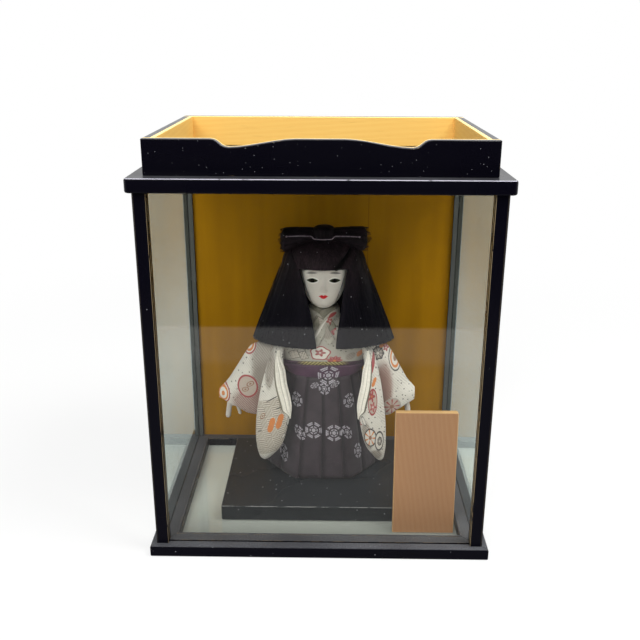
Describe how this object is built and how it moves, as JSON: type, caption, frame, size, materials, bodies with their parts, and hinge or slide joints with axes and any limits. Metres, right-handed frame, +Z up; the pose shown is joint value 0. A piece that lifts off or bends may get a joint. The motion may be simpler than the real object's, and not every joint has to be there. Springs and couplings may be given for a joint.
{
  "type": "doll in a glass display case",
  "caption": "Traditional dressed doll with pleated skirt, long sleeves and straight hair on a black stand, in a lacquered glass case with gold backdrop, lift-off top and wooden name tablet.",
  "frame": {"origin": "middle of the base frame's footprint, on the surface that the case stands on", "axes": "+X to the viewer's right, +Y to the gold backdrop, +Z up"},
  "size_m": [0.331, 0.251, 0.402],
  "materials": {
    "lacquer": "black lacquer, worn at the edges",
    "glass": "clear sheet glass",
    "plain_wood": "bare planed wood",
    "tablet_wood": "bare planed cedar",
    "gold_paper": "matt gold paper",
    "brocade": "woven ivory brocade with roundels",
    "lining_silk": "plain cream silk",
    "hakama_cloth": "dark aubergine cloth with pale roundels",
    "band_cloth": "purple woven band",
    "sash_cloth": "olive gold brocade",
    "shell_white": "polished shell-white coating",
    "hair": "straight black hair",
    "straw": "bound straw",
    "wire": "drawn wire",
    "pin": "silver with a lilac cast"
  },
  "bodies": {
    "case": {"base_rail_front": "lacquer", "base_rail_back": "lacquer", "base_rail_left": "lacquer", "base_rail_right": "lacquer", "floor_pane": "glass", "post_front_left": "lacquer", "post_front_right": "lacquer", "post_back_left": "lacquer", "post_back_right": "lacquer", "dowel_front_left": "plain_wood", "dowel_front_right": "plain_wood", "dowel_back_left": "plain_wood", "dowel_back_right": "plain_wood", "front_glass": "glass", "left_glass": "glass", "right_glass": "glass", "gold_backdrop": "gold_paper", "back_panel": "plain_wood"},
    "lid": {"lid_board": "lacquer", "tray_front_board": "lacquer", "tray_back_board": "lacquer", "tray_left_board": "lacquer", "tray_right_board": "lacquer"},
    "name_tablet": {"name_board": "tablet_wood", "name_board_foot": "tablet_wood"},
    "doll": {"doll_stand": "lacquer", "arm_wire": "wire", "body_core": "straw", "leg_rod_left": "plain_wood", "leg_rod_right": "plain_wood", "kimono_body": "brocade", "under_collar": "lining_silk", "kimono_collar": "brocade", "obi_sash": "sash_cloth", "hakama_waistband": "band_cloth", "hakama_front": "hakama_cloth", "hakama_back": "hakama_cloth", "left_sleeve": "brocade", "right_sleeve": "brocade", "left_sleeve_lining": "lining_silk", "right_sleeve_lining": "lining_silk", "left_hand": "shell_white", "right_hand": "shell_white"},
    "doll_head": {"head": "shell_white", "neck_peg": "plain_wood", "hair_crown": "hair", "hair_fall_left": "hair", "hair_fall_right": "hair", "hair_fall_back": "hair", "hair_loop_left": "hair", "hair_loop_right": "hair", "hair_knob": "hair", "hair_pin": "pin"}
  },
  "joints": [
    {"name": "lid_lift", "type": "slide", "parent": "case", "child": "lid", "axis": [0, 0, 1], "range_m": [0, 0.15]},
    {"name": "doll_lift", "type": "slide", "parent": "case", "child": "doll", "axis": [0, 0, 1], "range_m": [0, 0.05]},
    {"name": "name_board_lift", "type": "slide", "parent": "case", "child": "name_tablet", "axis": [0, 0, 1], "range_m": [0, 0.15]},
    {"name": "head_turn", "type": "hinge", "parent": "doll", "child": "doll_head", "pos_m": [0.002, 0.029, 0.2], "axis": [0, 0, 1], "range_deg": [-12, 12]}
  ]
}
